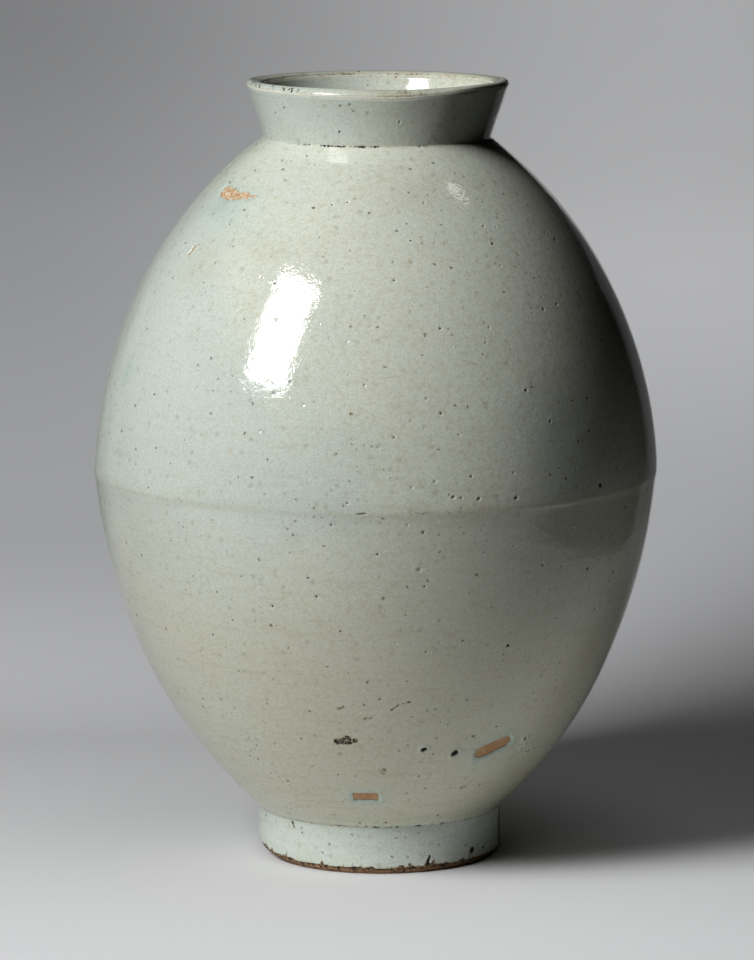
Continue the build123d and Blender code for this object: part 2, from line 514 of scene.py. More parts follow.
def mesh_piece(name, places, faces, marks):
    """A piece from millimetre places, with the places that coincide made one."""
    rounded = np.round(places, MERGE_DIGITS)
    _, first, same = np.unique(rounded, axis=0, return_index=True, return_inverse=True)
    same = same.reshape(-1)
    kept = []
    for face in faces:
        corners = list(dict.fromkeys(same[face].tolist()))
        if len(corners) > 2:
            kept.append(corners)
    mesh = bpy.data.meshes.new(name)
    mesh.from_pydata((places[first] * MM).tolist(), [], kept)
    colours = np.concatenate([np.clip(marks[first], 0, 1), np.ones((len(first), 1))], axis=1)
    layer = mesh.attributes.new("marks", "FLOAT_COLOR", "POINT")
    layer.data.foreach_set("color", colours.astype(np.float32).ravel())
    mesh.shade_smooth()
    mesh.set_sharp_from_angle(angle=math.radians(SHARP_ANGLE))
    mesh.validate()
    piece = bpy.data.objects.new(name, mesh)
    JAR.objects.link(piece)
    return piece


def thrown_copy(name, node_name):
    """A hidden clay piece: its solid, out of true as the rest of the jar is."""
    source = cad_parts[node_name].data
    x, y, height = np.array([vert.co for vert in source.vertices]).T / MM
    azimuth = np.degrees(np.arctan2(x, -y))
    faces = [list(face.vertices) for face in source.polygons]
    return mesh_piece(name, thrown(azimuth, np.hypot(x, y), height), faces, unmarked(azimuth))


# Marks in the glaze. Their colours are columns of the piece's colour layer

STAIN, POOL, DARK = range(3)
RAGGED = [(1.0, 1.6), (1.0, 4.0)]


def unmarked(azimuth):
    """Empty colour marks."""
    return np.zeros((len(azimuth), 3))


@dataclass
class Lobe:
    """A rounded shape on the wall, sideways and up from its mark's centre, in millimetres."""

    length: float
    width: float
    tilt: float = 0.0
    side: float = 0.0
    up: float = 0.0
    square: float = 0.0

    def distance(self, side, up):
        """How far places lie outside the lobe, or inside where it is negative."""
        turn = math.radians(self.tilt)
        along = (side - self.side) * math.cos(turn) + (up - self.up) * math.sin(turn)
        across = (up - self.up) * math.cos(turn) - (side - self.side) * math.sin(turn)
        corner = min(self.length, self.width) / 2 * (1 - self.square)
        out = np.stack([np.abs(along) - self.length / 2 + corner, np.abs(across) - self.width / 2 + corner])
        return np.hypot(*np.maximum(out, 0)) + np.minimum(out.max(axis=0), 0) - corner

    def reach(self):
        """How far the lobe goes from its mark's centre, sideways and up."""
        turn = math.radians(self.tilt)
        along, across = self.length / 2, self.width / 2
        half_side = along * abs(math.cos(turn)) + across * abs(math.sin(turn))
        half_up = along * abs(math.sin(turn)) + across * abs(math.cos(turn))
        return abs(self.side) + half_side, abs(self.up) + half_up


@dataclass
class Mark:
    """A mark in the glaze. Depth and rim are heights, stain, dark and pool are colours."""

    azimuth: float
    height: float
    lobes: list
    ragged: float
    depth: float = 0.0
    rim: float = 0.0
    rim_width: float = 1.0
    grain: float = 0.0
    stain: float = 0.0
    dark: float = 0.0
    pool: float = 0.0
    pool_width: float = 3.0
    bare: bool = False

    def offsets(self, azimuth, length):
        """How far cloth places lie sideways and up from the mark's centre."""
        centre = OUTSIDE.length_at(self.height)
        radius, *_ = OUTSIDE.at(centre)
        return np.radians(turned_from(azimuth, self.azimuth)) * radius, length - centre

    def near(self, azimuth, length, margin):
        """Which cloth places lie within a margin of the mark."""
        side, up = self.offsets(azimuth, length)
        half_side, half_up = np.max([lobe.reach() for lobe in self.lobes], axis=0) + margin
        return (np.abs(side) < half_side) & (np.abs(up) < half_up)

    def distance(self, azimuth, length):
        """How far cloth places lie outside the mark."""
        side, up = self.offsets(azimuth, length)
        shape = np.min([lobe.distance(side, up) for lobe in self.lobes], axis=0)
        wall = np.stack([side, up, np.full(len(side), self.height)], axis=1)
        return shape + self.ragged * wanders(wall, RAGGED, seed=21)


def pit(azimuth, height, size, dark=1.1, stain=0.0):
    """A burst bubble: a small open crater, dark or brown inside."""
    hole = Lobe(size, 0.85 * size, tilt=40)
    crater = dict(ragged=0.15, depth=0.6, rim=0.08, rim_width=0.5)
    return Mark(azimuth, height, [hole], **crater, stain=stain, dark=dark)


def blister(azimuth, height, size):
    """A burst blister: black and ragged inside, with a swollen grey ring."""
    hole = Lobe(size, 0.75 * size, tilt=35)
    crater = dict(ragged=0.35, depth=0.65, rim=0.55, rim_width=0.8)
    return Mark(azimuth, height, [hole], **crater, dark=1.2, pool=0.55, pool_width=0.9)


def rub(azimuth, height, size, tilt):
    """A faint rusty rub in the glaze."""
    return Mark(azimuth, height, [Lobe(size, 0.5 * size, tilt)], ragged=0.8, stain=0.85)


def skip(azimuth, height, lobes, ragged, **edge):
    """A bare patch that the glaze missed."""
    return Mark(azimuth, height, lobes, ragged, bare=True, **edge)


SHOULDER_LOBES = [
    Lobe(18.0, 7.8, -10, side=-9.5, up=-0.4),
    Lobe(18.0, 4.6, 4, side=4.0, up=-1.3),
    Lobe(8.0, 2.0, 6, side=13.5, up=-0.6),
]
SHOULDER_SKIP = skip(-54.6, 390.3, SHOULDER_LOBES, 0.7, rim=0.1, rim_width=2.5, pool=0.6, pool_width=4.0)
FLANK_LOBE = Lobe(23.5, 8.4, 23, side=0.5, up=-0.3)
FLANK_SKIP = skip(34.2, 80.0, [FLANK_LOBE], 0.2, rim=0.35, rim_width=2.2, pool=1.2, pool_width=3.2)
FRONT_LOBE = Lobe(14.6, 6.8, square=0.75)
FRONT_SKIP = skip(-5.0, 50.4, [FRONT_LOBE], 0.2, rim=0.3, rim_width=1.8, pool=1.1, pool_width=3.0)
NICK = skip(-59.0, 358.8, [Lobe(7.0, 2.3, 78)], 0.2, rim=0.1, rim_width=0.6)
SCAR_LOBES = [
    Lobe(7.4, 5.8, 4, side=-3.4, up=-0.7),
    Lobe(7.4, 7.6, 14, side=1.4, up=0.5),
    Lobe(4.4, 4.2, -10, side=5.2, up=0.6),
]
SCAR = Mark(-8.7, 88.7, SCAR_LOBES, 0.4, depth=0.1, rim=0.1, grain=0.35, stain=0.9, dark=0.62)
FOOT_CRACK = Mark(23.5, 6.4, [Lobe(8.8, 2.1, 76)], 0.35, depth=0.6, rim=0.05, stain=1.0, dark=1.2)
FOOT_RUN = Mark(84.0, 14.0, [Lobe(26.0, 15.0, 90)], 1.2, depth=0.15, stain=1.5, dark=0.5)
FOOT_SPOT = Mark(-44.5, 24.8, [Lobe(5.2, 2.8, 115)], 0.4, depth=0.3, rim=0.1, stain=1.6, dark=0.4)
SEAM_CRACK = Mark(-2.6, 224.9, [Lobe(6.4, 1.0, 6)], 0.3, depth=0.5, rim=0.1, stain=0.8, dark=0.6)
DENT = Mark(8.9, 192.7, [Lobe(2.6, 2.2)], 0.2, depth=0.5, rim=0.15, stain=0.4, dark=0.3)
SCRATCH_LOBES = [Lobe(8.0, 2.6, 38, side=-2.5, up=-1.2), Lobe(6.0, 2.2, 22, side=3.5, up=1.8)]
RED_SCRATCH = Mark(5.4, 111.5, SCRATCH_LOBES, 0.6, depth=0.05, stain=1.7)
DRIP_LOBES = [Lobe(2.2, 1.2, 80, side=-0.6, up=5.0), Lobe(1.6, 1.6, side=0.4, up=-0.5), Lobe(2.8, 1.6, up=-6)]
DRIP = Mark(17.0, 222.0, DRIP_LOBES, 0.3, depth=0.2, stain=1.1)
SINGLE_MARKS = [SHOULDER_SKIP, FLANK_SKIP, FRONT_SKIP, SCAR, NICK, FOOT_CRACK, FOOT_RUN, FOOT_SPOT]
SINGLE_MARKS += [SEAM_CRACK, DENT, RED_SCRATCH, DRIP]

# Marks that come in numbers: azimuth, height and size, then dark and stain for brown pits, and tilt for rubs
BLISTERS = [(12.8, 82.8, 3.8), (22.1, 78.9, 5.2), (45.8, 82.3, 2.4), (46.7, 76.2, 2.8), (51.0, 72.8, 3.0)]
FOOT_PITS = [(49.4, 8.5, 4.8), (58.6, 8.1, 2.2)]
NECK_PITS = [(-18.4, 425.6, 2.0), (10.0, 431.6, 1.8)]
FLANK_PITS = [(30.4, 144.5, 2.6), (29.8, 139.4, 1.8), (30.4, 152.7, 1.5), (-13.5, 187.5, 2.2)]
FLANK_PITS += [(0.4, 201.8, 1.7), (19.7, 177.7, 1.6), (12.3, 64.7, 1.3), (-12.7, 65.7, 1.3)]
BELLY_PITS = [(50.6, 231.5, 3.4), (37.8, 270.5, 2.0), (32.8, 288.4, 2.2), (48.5, 262.7, 1.8)]
BELLY_PITS += [(44.7, 257.6, 1.6), (16.6, 267.0, 1.4), (2.9, 244.3, 1.4), (11.5, 242.1, 1.8)]
SHOULDER_PITS = [(9.8, 369.5, 1.7), (34.0, 366.1, 1.9), (37.8, 374.4, 1.7), (11.5, 394.3, 1.6)]
SHOULDER_PITS += [(-4.7, 307.6, 1.4), (-45.9, 338.6, 1.4), (-30.0, 349.0, 1.6), (-48.6, 328.1, 1.5)]
SHOULDER_PITS += [(-25.8, 346.5, 1.7)]
PITS = FOOT_PITS + NECK_PITS + FLANK_PITS + BELLY_PITS + SHOULDER_PITS
SEAM_BROWN = [(15.2, 233.2, 2.6, 0.55, 0.9), (20.4, 231.6, 2.6, 0.6, 0.9), (28.4, 230.8, 3.0, 0.55, 0.9)]
SEAM_BROWN += [(16.8, 232.6, 2.2, 0.5, 1.2)]
SHOULDER_BROWN = [(14.6, 323.6, 2.2, 0.6, 1.2), (33.5, 375.4, 2.2, 0.5, 1.2)]
FOOT_BROWN_PITS = [(-8.7, 31.0, 2.2, 0.5, 1.4), (2.7, 31.4, 2.8, 0.5, 1.4)]
BROWN_PITS = SEAM_BROWN + SHOULDER_BROWN + FOOT_BROWN_PITS
FAINT_PITS = [(15.9, 388.6, 1.5), (17.2, 386.9, 1.3), (16.9, 313.9, 1.5)]
FAINT_PITS += [(26.4, 323.0, 1.6), (27.5, 325.6, 1.4)]
FAINT = (0.1, 0.8)
RUBS = [(18.4, 99.2, 5.0, 60), (-2.5, 103.9, 7.0, 10), (1.5, 68.7, 6.0, 80)]
RUBS += [(-8.7, 110.0, 7.0, 20), (-10.7, 80.6, 3.5, 80), (29.6, 54.3, 5.0, 15)]
MARKS = SINGLE_MARKS + [blister(*row) for row in BLISTERS] + [rub(*row) for row in RUBS]
MARKS += [pit(*row) for row in PITS + BROWN_PITS] + [pit(*row, *FAINT) for row in FAINT_PITS]


@dataclass
class Wash:
    """A soft patch of colour on the wall: pooled blue-green, or a tan stain where it is negative."""

    azimuth: float
    height: float
    length: float
    width: float
    strength: float


WASHES = [
    Wash(-60, 381, 16, 5, 0.7),
    Wash(-47, 374, 26, 8, 0.3),
    Wash(-67, 289, 4.5, 10, 0.9),
    Wash(-76, 310, 8, 40, 0.4),
    Wash(-72, 255, 5, 30, 0.45),
    Wash(-80, 190, 10, 40, 0.35),
    Wash(38, 268, 30, 22, 0.4),
    Wash(150, 330, 30, 20, 0.4),
    Wash(120, 120, 14, 50, 0.3),
    Wash(-52, 352, 16, 14, -0.4),
    Wash(-32, 363, 16, 7, -0.3),
    Wash(-76, 312, 3, 14, -0.6),
    # At the far left edge, a tan stain that is partly the glaze's colour and partly a painted reflection of
    # the dark room at the grazing edge
    Wash(-90, 310, 30, 90, -0.4),
    Wash(12, 392, 26, 8, -0.3),
    Wash(-170, 250, 40, 20, -0.3),
]


@dataclass
class Streak:
    """A tan line round the jar, stronger at some bumps in azimuth."""

    height: float
    width: float
    amount: float
    bumps: list = field(default_factory=list)


STREAKS = [
    Streak(NECK_JOINT + 0.3, 1.0, 0.1, [(0.4, -8, 34)]),
    Streak(FOOT_JOINT - 0.2, 0.8, 0.7),
    Streak(SEAM + 1.0, 2.0, 0.28, [(0.2, -50, 45), (0.35, 14, 12)]),
    Streak(BARE_EDGE, 1.1, 0.6),
]


@dataclass
class Crack:
    """A run of dark breaks along a joint: as long as the size, and more of them with a higher bias."""

    height: float
    width: float
    size: float
    seed: int
    gain: float
    bias: float
    bumps: list
    dark: float = 1.0


CRACKS = [
    Crack(NECK_JOINT + 0.2, 0.6, size=4.0, seed=81, gain=2.0, bias=-0.1, bumps=[(1.0, 2, 26)]),
    Crack(NECK_JOINT + 0.3, 0.4, size=5.0, seed=83, gain=1.6, bias=0.8, bumps=[(1.8, -26, 17)], dark=0.8),
    Crack(FOOT_JOINT, 0.7, size=2.6, seed=82, gain=2.6, bias=-0.7, bumps=[(1.0, 12, 36)]),
]

# Refining and opening the outer cloth

CUTS = 8
SHORT = 1.2
REFINED = 2.8
OPENED = 4.0
SNAP = 0.3
NUDGE = 0.05
LEAST_SLOPE = 0.2


def cut_out(flat):
    """Refines the cloth round the marks, and opens it where the clay is bare."""
    faces = list(flat.faces)
    middles = flat_middles(faces)
    chosen = np.any([mark.near(*middles, REFINED) for mark in MARKS], axis=0)
    edges = {edge for face, picked in zip(faces, chosen) if picked for edge in face.edges}
    long_edges = [edge for edge in edges if cloth_length(edge) > SHORT]
    bmesh.ops.subdivide_edges(flat, edges=long_edges, cuts=CUTS, use_grid_fill=True, use_single_edge=True)
    for mark in MARKS:
        if mark.bare:
            open_cloth(flat, mark)
    return flat


def cloth_length(edge):
    """A cloth edge's length on the jar."""
    start, end = (vert.co for vert in edge.verts)
    radius, *_ = OUTSIDE.at(start.y)
    return math.hypot(math.radians(end.x - start.x) * radius, end.y - start.y)


def open_cloth(flat, mark):
    """Moves the nearest places of the cloth onto a mark's edge, and takes away what lies inside."""
    verts = list(flat.verts)
    azimuth, length = np.array([vert.co[:2] for vert in verts]).T
    picked = mark.near(azimuth, length, OPENED)
    near = [vert for vert, close in zip(verts, picked) if close]
    azimuth, length = azimuth[picked], length[picked]
    radius, *_ = OUTSIDE.at(OUTSIDE.length_at(mark.height))
    per_degree = math.radians(radius)
    gaps = mark.distance(azimuth, length)
    slope_side = (mark.distance(azimuth + NUDGE / per_degree, length) - gaps) / NUDGE
    slope_up = (mark.distance(azimuth, length + NUDGE) - gaps) / NUDGE
    steep = np.maximum(slope_side**2 + slope_up**2, LEAST_SLOPE)
    for vert, gap, side, up in zip(near, gaps, slope_side / steep, slope_up / steep):
        if abs(gap) < SNAP:
            vert.co.x -= gap * side / per_degree
            vert.co.y -= gap * up
    cells = list({face for vert in near for face in vert.link_faces})
    lost = [face for face, gap in zip(cells, mark.distance(*flat_middles(cells))) if gap < 0]
    bmesh.ops.delete(flat, geom=lost, context="FACES")


# The shapes of the pieces that show: how far each coat is worn, lifted and coloured

COAT = 0.95 * GLAZE
FRAYS = [(0.6, 2.2), (0.5, 7.0), (0.4, 19.0)]
LIP_WEAR = 0.15
LIP_FRAY = 0.5
EDGE_THIN = 0.55 * GLAZE
RIPPLE = 0.045

# Outside
OUTER_LIP_REACH = 8.0
OUTER_LIP_THIN = (-1.5, 0.4)
HEM_RISE = 0.9
HEM_LEFT = [(2.4, -86, 13)]
HEM_FRAY = 0.9
HEM_REACH = 14.0
HEM_THIN = 0.5 * GLAZE
HEM_ROUND = (-1.0, 1.2)
RIPPLE_SIZE = 13.0
WHEEL_RIPPLE = 1.5 * RIPPLE
WHEEL_RIPPLE_SIZE = 30.0
WHEEL_RIPPLE_STRETCH = (1, 1, 3)
CRACK_DEPTH = 0.35
LEVEL = (1, 1, 0)
CRUST_TEETH = [(1.0, 1.7), (0.8, 8.0)]
CRUST_FEWER = 0.18
CRUST_LEAST = 0.35
CRUST_RISE = 4.2
CRUST_SOFT = 0.3
CRUST_STAIN = 1.7
CRUST_DARK = 0.28
CRUST_LIFT = 0.25
MARK_MARGIN = 12.0
MARK_EDGE = (-0.9, 0.1)
MARK_DARK_EDGE = (-0.7, 0.1)
MARK_GRAIN = 1.3
ROLLED = 0.75 * GLAZE
ROLLED_FROM = -0.2
OUTER_LIP_TAN = 0.2
OUTER_LIP_TAN_SPAN = (LIP - 6.0, LIP - 3.2)


def ragged_edge(azimuth, radius, amount, seed):
    """A worn edge's wander along the outline."""
    return amount * wanders(around(azimuth, radius, 0.0), FRAYS, seed)


def outer_shape(azimuth, length):
    """The outside's worn edges, ripples and marks."""
    start, end = BARE_EDGE, OUTSIDE.total - LIP_WEAR
    crust = hem_crust(azimuth, length - start)
    near_foot = 1 - ramp(length, start, start + HEM_REACH)
    near_lip = ramp(length, end - OUTER_LIP_REACH, end)
    hem_rise = HEM_RISE + bells(azimuth, HEM_LEFT)
    length = length + near_foot * (hem_rise + ragged_edge(azimuth, FOOT_R, HEM_FRAY, seed=31))
    length = length + near_lip * np.minimum(ragged_edge(azimuth, MOUTH_R, LIP_FRAY, seed=41), LIP_WEAR)
    radius, height, ring = OUTSIDE.ring(azimuth, length)
    lift = RIPPLE * wander(ring, RIPPLE_SIZE, seed=51)
    lift += WHEEL_RIPPLE * wander(ring * WHEEL_RIPPLE_STRETCH, WHEEL_RIPPLE_SIZE, seed=52)
    lift -= HEM_THIN * (1 - ramp(length - start - hem_rise, *HEM_ROUND))
    lift -= EDGE_THIN * ramp(length - end, *OUTER_LIP_THIN)
    marks = unmarked(azimuth)
    add_marks(azimuth, length, ring, lift, marks)
    add_washes(azimuth, radius, height, marks)
    cracks = joint_cracks(azimuth, ring, height)
    marks[:, STAIN] += joint_tan(azimuth, height) + CRUST_STAIN * crust
    marks[:, DARK] += cracks + CRUST_DARK * crust
    return azimuth, length, lift - CRACK_DEPTH * cracks + CRUST_LIFT * crust, marks


def add_marks(azimuth, length, ring, lift, marks):
    """Adds the relief and the colours of every mark."""
    for mark in MARKS:
        near = np.flatnonzero(mark.near(azimuth, length, MARK_MARGIN))
        gap = mark.distance(azimuth[near], length[near])
        within = 1 - ramp(gap, *MARK_EDGE)
        rough = mark.grain * wander(ring[near], MARK_GRAIN, seed=61)
        lift[near] += mark.rim * hump(gap, mark.rim_width, mark.rim_width) + (rough - mark.depth) * within
        if mark.bare:
            lift[near] -= ROLLED * (1 - ramp(gap, ROLLED_FROM, mark.rim_width))
        marks[near, STAIN] += mark.stain * within
        marks[near, POOL] += mark.pool * np.exp(-np.maximum(gap, 0) / mark.pool_width)
        marks[near, DARK] += mark.dark * (1 - ramp(gap, *MARK_DARK_EDGE))


def add_washes(azimuth, radius, height, marks):
    """Adds the colour of every wash."""
    for wash in WASHES:
        side = np.radians(turned_from(azimuth, wash.azimuth)) * radius
        patch = hump(side, 0, wash.length) * hump(height, wash.height, wash.width)
        marks[:, POOL if wash.strength > 0 else STAIN] += abs(wash.strength) * patch


def hem_crust(azimuth, above):
    """Burnt crumbs that climb from the bare foot edge onto the glaze, in clusters."""
    ring = around(azimuth, FOOT_R, 0.0)
    teeth = np.clip(wanders(ring, CRUST_TEETH, seed=91) - CRUST_FEWER, 0, 1)
    reach_up = CRUST_LEAST + CRUST_RISE * teeth
    return 1 - ramp(above, reach_up / 2, reach_up + CRUST_SOFT)


def joint_tan(azimuth, height):
    """Tan in the joints and along the worn edges."""
    total = OUTER_LIP_TAN * ramp(height, *OUTER_LIP_TAN_SPAN)
    for streak in STREAKS:
        total += hump(height, streak.height, streak.width) * (streak.amount + bells(azimuth, streak.bumps))
    return total


def joint_cracks(azimuth, ring, height):
    """Dark breaks in the glaze: runs of dashes under the neck, and dots over the foot."""
    total = np.zeros(len(azimuth))
    for crack in CRACKS:
        breaks = np.clip(crack.gain * wander(ring * LEVEL, crack.size, crack.seed) + crack.bias, 0, 1)
        breaks *= np.minimum(bells(azimuth, crack.bumps), 1)
        total += crack.dark * breaks * hump(height, crack.height, crack.width)
    return total


LIP_COAT_REACH = 2.5
LIP_ROUND = (0.0, 1.3)
LIP_RIPPLE = 0.06
LIP_RIPPLE_SIZE = 5.0
LIP_TAN = 0.2
LIP_EDGE_TAN = 0.3
LIP_EDGE_SPAN = (0.2, 2.0)
LIP_BEHIND = (95, 140)
LIP_BEHIND_TAN = (0.25, 0.3, 9.0)
LIP_WORN_FRONT = [(1.0, 10, 14)]
LIP_FRONT_TAN = (0.35, 0.4, 4.0)
LIP_PIT_SIZE = 0.9
LIP_PIT_DARK = 1.2
LIP_PITS_LEFT = [(-76, 2.6), (-73, 2.2), (-71, 3.4), (-68, 1.8), (-66, 3.0), (-63.5, 1.6)]
LIP_PITS_FRONT = [(-54, 3.6), (-52, 1.8), (-46, 3.0), (-45, 1.6), (-42, 2.4), (-40.5, 3.6), (-40, 1.2)]
LIP_PITS = LIP_PITS_LEFT + LIP_PITS_FRONT + [(-37, 2.0)]


def patchy(ring, amount, change, size, seed):
    """An amount that changes at random from place to place."""
    return amount + change * wander(ring, size, seed)


def lip_shape(azimuth, length):
    """The lip's coat, worn back from both edges, with its pits."""
    start, end = LIP_WEAR, LIP_LINE.total - LIP_WEAR
    near_out = 1 - ramp(length, start, start + LIP_COAT_REACH)
    near_in = ramp(length, end - LIP_COAT_REACH, end)
    length = length + near_out * np.maximum(ragged_edge(azimuth, MOUTH_R, LIP_FRAY, seed=43), -LIP_WEAR)
    length = length + near_in * np.minimum(ragged_edge(azimuth, MOUTH_R, LIP_FRAY, seed=45), LIP_WEAR)
    _, _, ring = LIP_LINE.ring(azimuth, length)
    edge = np.minimum(length, LIP_LINE.total - length)
    lift = LIP_RIPPLE * wander(ring, LIP_RIPPLE_SIZE, seed=53) - EDGE_THIN * (1 - ramp(edge, *LIP_ROUND))
    marks = unmarked(azimuth)
    marks[:, STAIN] = LIP_TAN + LIP_EDGE_TAN * (1 - ramp(edge, *LIP_EDGE_SPAN))
    marks[:, STAIN] += ramp(np.abs(azimuth), *LIP_BEHIND) * patchy(ring, *LIP_BEHIND_TAN, seed=56)
    marks[:, STAIN] += bells(azimuth, LIP_WORN_FRONT) * patchy(ring, *LIP_FRONT_TAN, seed=57)
    for pit_azimuth, along in LIP_PITS:
        side = np.radians(turned_from(azimuth, pit_azimuth)) * MOUTH_R
        marks[:, DARK] += LIP_PIT_DARK * hump(side, 0, LIP_PIT_SIZE) * hump(length, along, LIP_PIT_SIZE)
    return azimuth, length, lift, marks


WORN_RISE = 0.6 * GLAZE
WORN_REACH = 1.3


def collar_shape(azimuth, length):
    """The clay neck, which comes up to the glaze along the lip's two worn edges."""
    radius, height, *_ = COLLAR.at(length)
    lift = np.zeros(len(azimuth))
    for edge_r, edge_z in (OUTER_ARRIS, INNER_ARRIS):
        lift += WORN_RISE * hump(radius, edge_r, WORN_REACH) * hump(height, edge_z, WORN_REACH)
    return azimuth, length, lift, unmarked(azimuth)


INNER_REACH = 3.0
INNER_ROUND = (0.2, 1.6)
INNER_RIPPLE = 2 * RIPPLE
INNER_RIPPLE_SIZE = 14.0
FLOOR_STILL = (4, 20)
INNER_TAN = 0.5
INNER_TAN_SPAN = (0.3, 2.4)


def inner_shape(azimuth, length):
    """The inside's coat, worn back from the lip, with the ripples of throwing."""
    near = 1 - ramp(length, LIP_WEAR, LIP_WEAR + INNER_REACH)
    length = length + near * np.maximum(ragged_edge(azimuth, MOUTH_R, LIP_FRAY, seed=47), -LIP_WEAR)
    radius, _, ring = INSIDE.ring(azimuth, length)
    lift = INNER_RIPPLE * wander(ring, INNER_RIPPLE_SIZE, seed=54) * ramp(radius, *FLOOR_STILL)
    lift -= EDGE_THIN * (1 - ramp(length, *INNER_ROUND))
    marks = unmarked(azimuth)
    marks[:, STAIN] = INNER_TAN * (1 - ramp(length, *INNER_TAN_SPAN))
    return azimuth, length, lift, marks


FOOT_BARE = (3.0, 6.0)
FOOT_STAND = (0.0, 0.8)
FOOT_GRIT = [(0.22, 1.1), (0.25, 4.0)]
FOOT_SUNK = 0.05
CRUMBS = [(1.0, 1.7), (0.6, 6.0)]
CRUMBS_FEWER = 0.15
CRUMB_RISE = 2.3
CRUMB_FACE = (FOOT_R - 1.5, FOOT_R - 0.2)
CRUMB_SPREAD = 1.5


def foot_shape(azimuth, length):
    """The foot ring, with grit on its bare edge and crumbs that break out through the glaze's hem."""
    radius, height, ring = FOOT.ring(azimuth, length)
    gritty = (1 - ramp(height, *FOOT_BARE)) * ramp(height, *FOOT_STAND)
    lift = gritty * (wanders(ring, FOOT_GRIT, seed=71) - FOOT_SUNK)
    crumbs = np.clip(wanders(ring, CRUMBS, seed=73) - CRUMBS_FEWER, 0, 1)
    at_hem = ramp(radius, *CRUMB_FACE) * hump(height, BARE_EDGE + HEM_RISE, CRUMB_SPREAD)
    return azimuth, length, lift + CRUMB_RISE * crumbs * at_hem, unmarked(azimuth)


BASE_REACH = 6.0
BASE_FRAY_END = 1.0
BASE_THIN = 0.4 * GLAZE
BASE_RIPPLE = 0.12
BASE_RIPPLE_SIZE = 12.0
BASE_STILL = (3, 15)


def base_shape(azimuth, length):
    """The coat under the base, uneven and worn back from the foot's edge."""
    near = ramp(length, BASE.total - BASE_REACH, BASE.total)
    length = length + near * np.minimum(ragged_edge(azimuth, FOOT_INNER_R, HEM_FRAY, seed=33), BASE_FRAY_END)
    radius, _, ring = BASE.ring(azimuth, length)
    lift = BASE_RIPPLE * wander(ring, BASE_RIPPLE_SIZE, seed=55) * ramp(radius, *BASE_STILL)
    lift -= BASE_THIN * near
    marks = unmarked(azimuth)
    marks[:, STAIN] = near
    return azimuth, length, lift, marks


# The pieces that show. Places with fine steps are (running length, spread)

OUTER_COLUMNS = 150
EDGE_COLUMNS = 720
NECK_COLUMNS = 240
PLAIN_COLUMNS = 160
FINE_STEP = 0.55
CLAY_STEP = 0.5
OUTER_STEP = 6.0
INNER_STEP = 5.0
BASE_STEP = 3.0
NECK_STEP = 3.0
FOOT_STEP = 2.5
LIP_ROWS = 24
HEM_SPREAD = 8.0
HEM_BAND = 4.0
HEM_CUTS = 3
JOINT_SPREAD = 4.5
JOINT_BAND = 1.5
JOINT_CUTS = 1
OUTER_LIP_SPREAD = 6.0
OUTER_LIP_BAND = 2.0
INNER_LIP_SPREAD = 5.0
BEAD_SPREAD = 8.0
BASE_SPREAD = 6.0
COLLAR_LIP_SPREAD = 16.0
FOOT_EDGES = [(8.0, 12), (FOOT.total - 4, 8)]


def outer_glaze():
    """The coat outside, from the bare foot edge to the lip's outer edge."""
    start, end = BARE_EDGE, OUTSIDE.total - LIP_WEAR
    foot, seam, neck = [OUTSIDE.length_at(height) for height in (FOOT_JOINT, SEAM, NECK_JOINT)]
    places = [(start, HEM_SPREAD), (end, OUTER_LIP_SPREAD)]
    places += [(joint, JOINT_SPREAD) for joint in (foot, seam, neck)]
    flat = cloth(OUTER_COLUMNS, graded(start, end, OUTER_STEP, FINE_STEP, places))
    divided(flat, [(start, start + HEM_BAND)], HEM_CUTS)
    bands = [(joint - JOINT_BAND, joint + JOINT_BAND) for joint in (foot, neck)]
    divided(flat, bands + [(end - OUTER_LIP_BAND, end)], JOINT_CUTS)
    return wrapped("outer_glaze_coat", cut_out(flat), OUTSIDE, outer_shape, COAT)


def lip_glaze():
    """The coat over the lip."""
    rows = np.linspace(LIP_WEAR, LIP_LINE.total - LIP_WEAR, LIP_ROWS)
    return wrapped("lip_glaze_coat", cloth(EDGE_COLUMNS, rows), LIP_LINE, lip_shape, COAT)


def inner_glaze():
    """The coat inside, down to the middle of the floor."""
    bead = INSIDE.lengths[np.argmin(np.abs(INSIDE.points[:, 1] - SEAM))]
    places = [(LIP_WEAR, INNER_LIP_SPREAD), (bead, BEAD_SPREAD)]
    rows = graded(LIP_WEAR, INSIDE.total, INNER_STEP, FINE_STEP, places)
    return wrapped("inner_glaze_coat", cloth(PLAIN_COLUMNS, rows), INSIDE, inner_shape, COAT)


def base_glaze():
    """The coat in the recess under the base."""
    rows = graded(0.0, BASE.total, BASE_STEP, FINE_STEP, [(BASE.total, BASE_SPREAD)])
    return wrapped("base_glaze_coat", cloth(PLAIN_COLUMNS, rows), BASE, base_shape, COAT)


def neck_collar():
    """The clay neck, which shows along the lip's two edges."""
    rows = graded(0.0, COLLAR.total, NECK_STEP, CLAY_STEP, [(COLLAR.total / 2, COLLAR_LIP_SPREAD)])
    return wrapped("neck_clay", cloth(NECK_COLUMNS, rows), COLLAR, collar_shape)


def foot_ring():
    """The clay foot ring, which shows along its bare lower edge."""
    rows = graded(0.0, FOOT.total, FOOT_STEP, CLAY_STEP, FOOT_EDGES)
    return wrapped("foot_clay", cloth(EDGE_COLUMNS, rows), FOOT, foot_shape)


# Shader nodes. A function that is given a socket adds its nodes to the socket's own tree

SPOT_LEAST = 0.4
MIDDLE = (0.5, 0.5, 0.5)

# The sockets of a mix node that carry colours
MIX_COLOURS = (6, 7)
MIX_RESULT = 2


def feed(made, name, value):
    """Sets or links a node's input."""
    if isinstance(value, bpy.types.NodeSocket):
        made.id_data.links.new(value, made.inputs[name])
    else:
        made.inputs[name].default_value = value


def node(tree, kind, inputs=None, **settings):
    """A shader node, with its settings and with its inputs set or linked."""
    made = tree.nodes.new(kind)
    for name, value in settings.items():
        setattr(made, name, value)
    for name, value in (inputs or {}).items():
        feed(made, name, value)
    return made


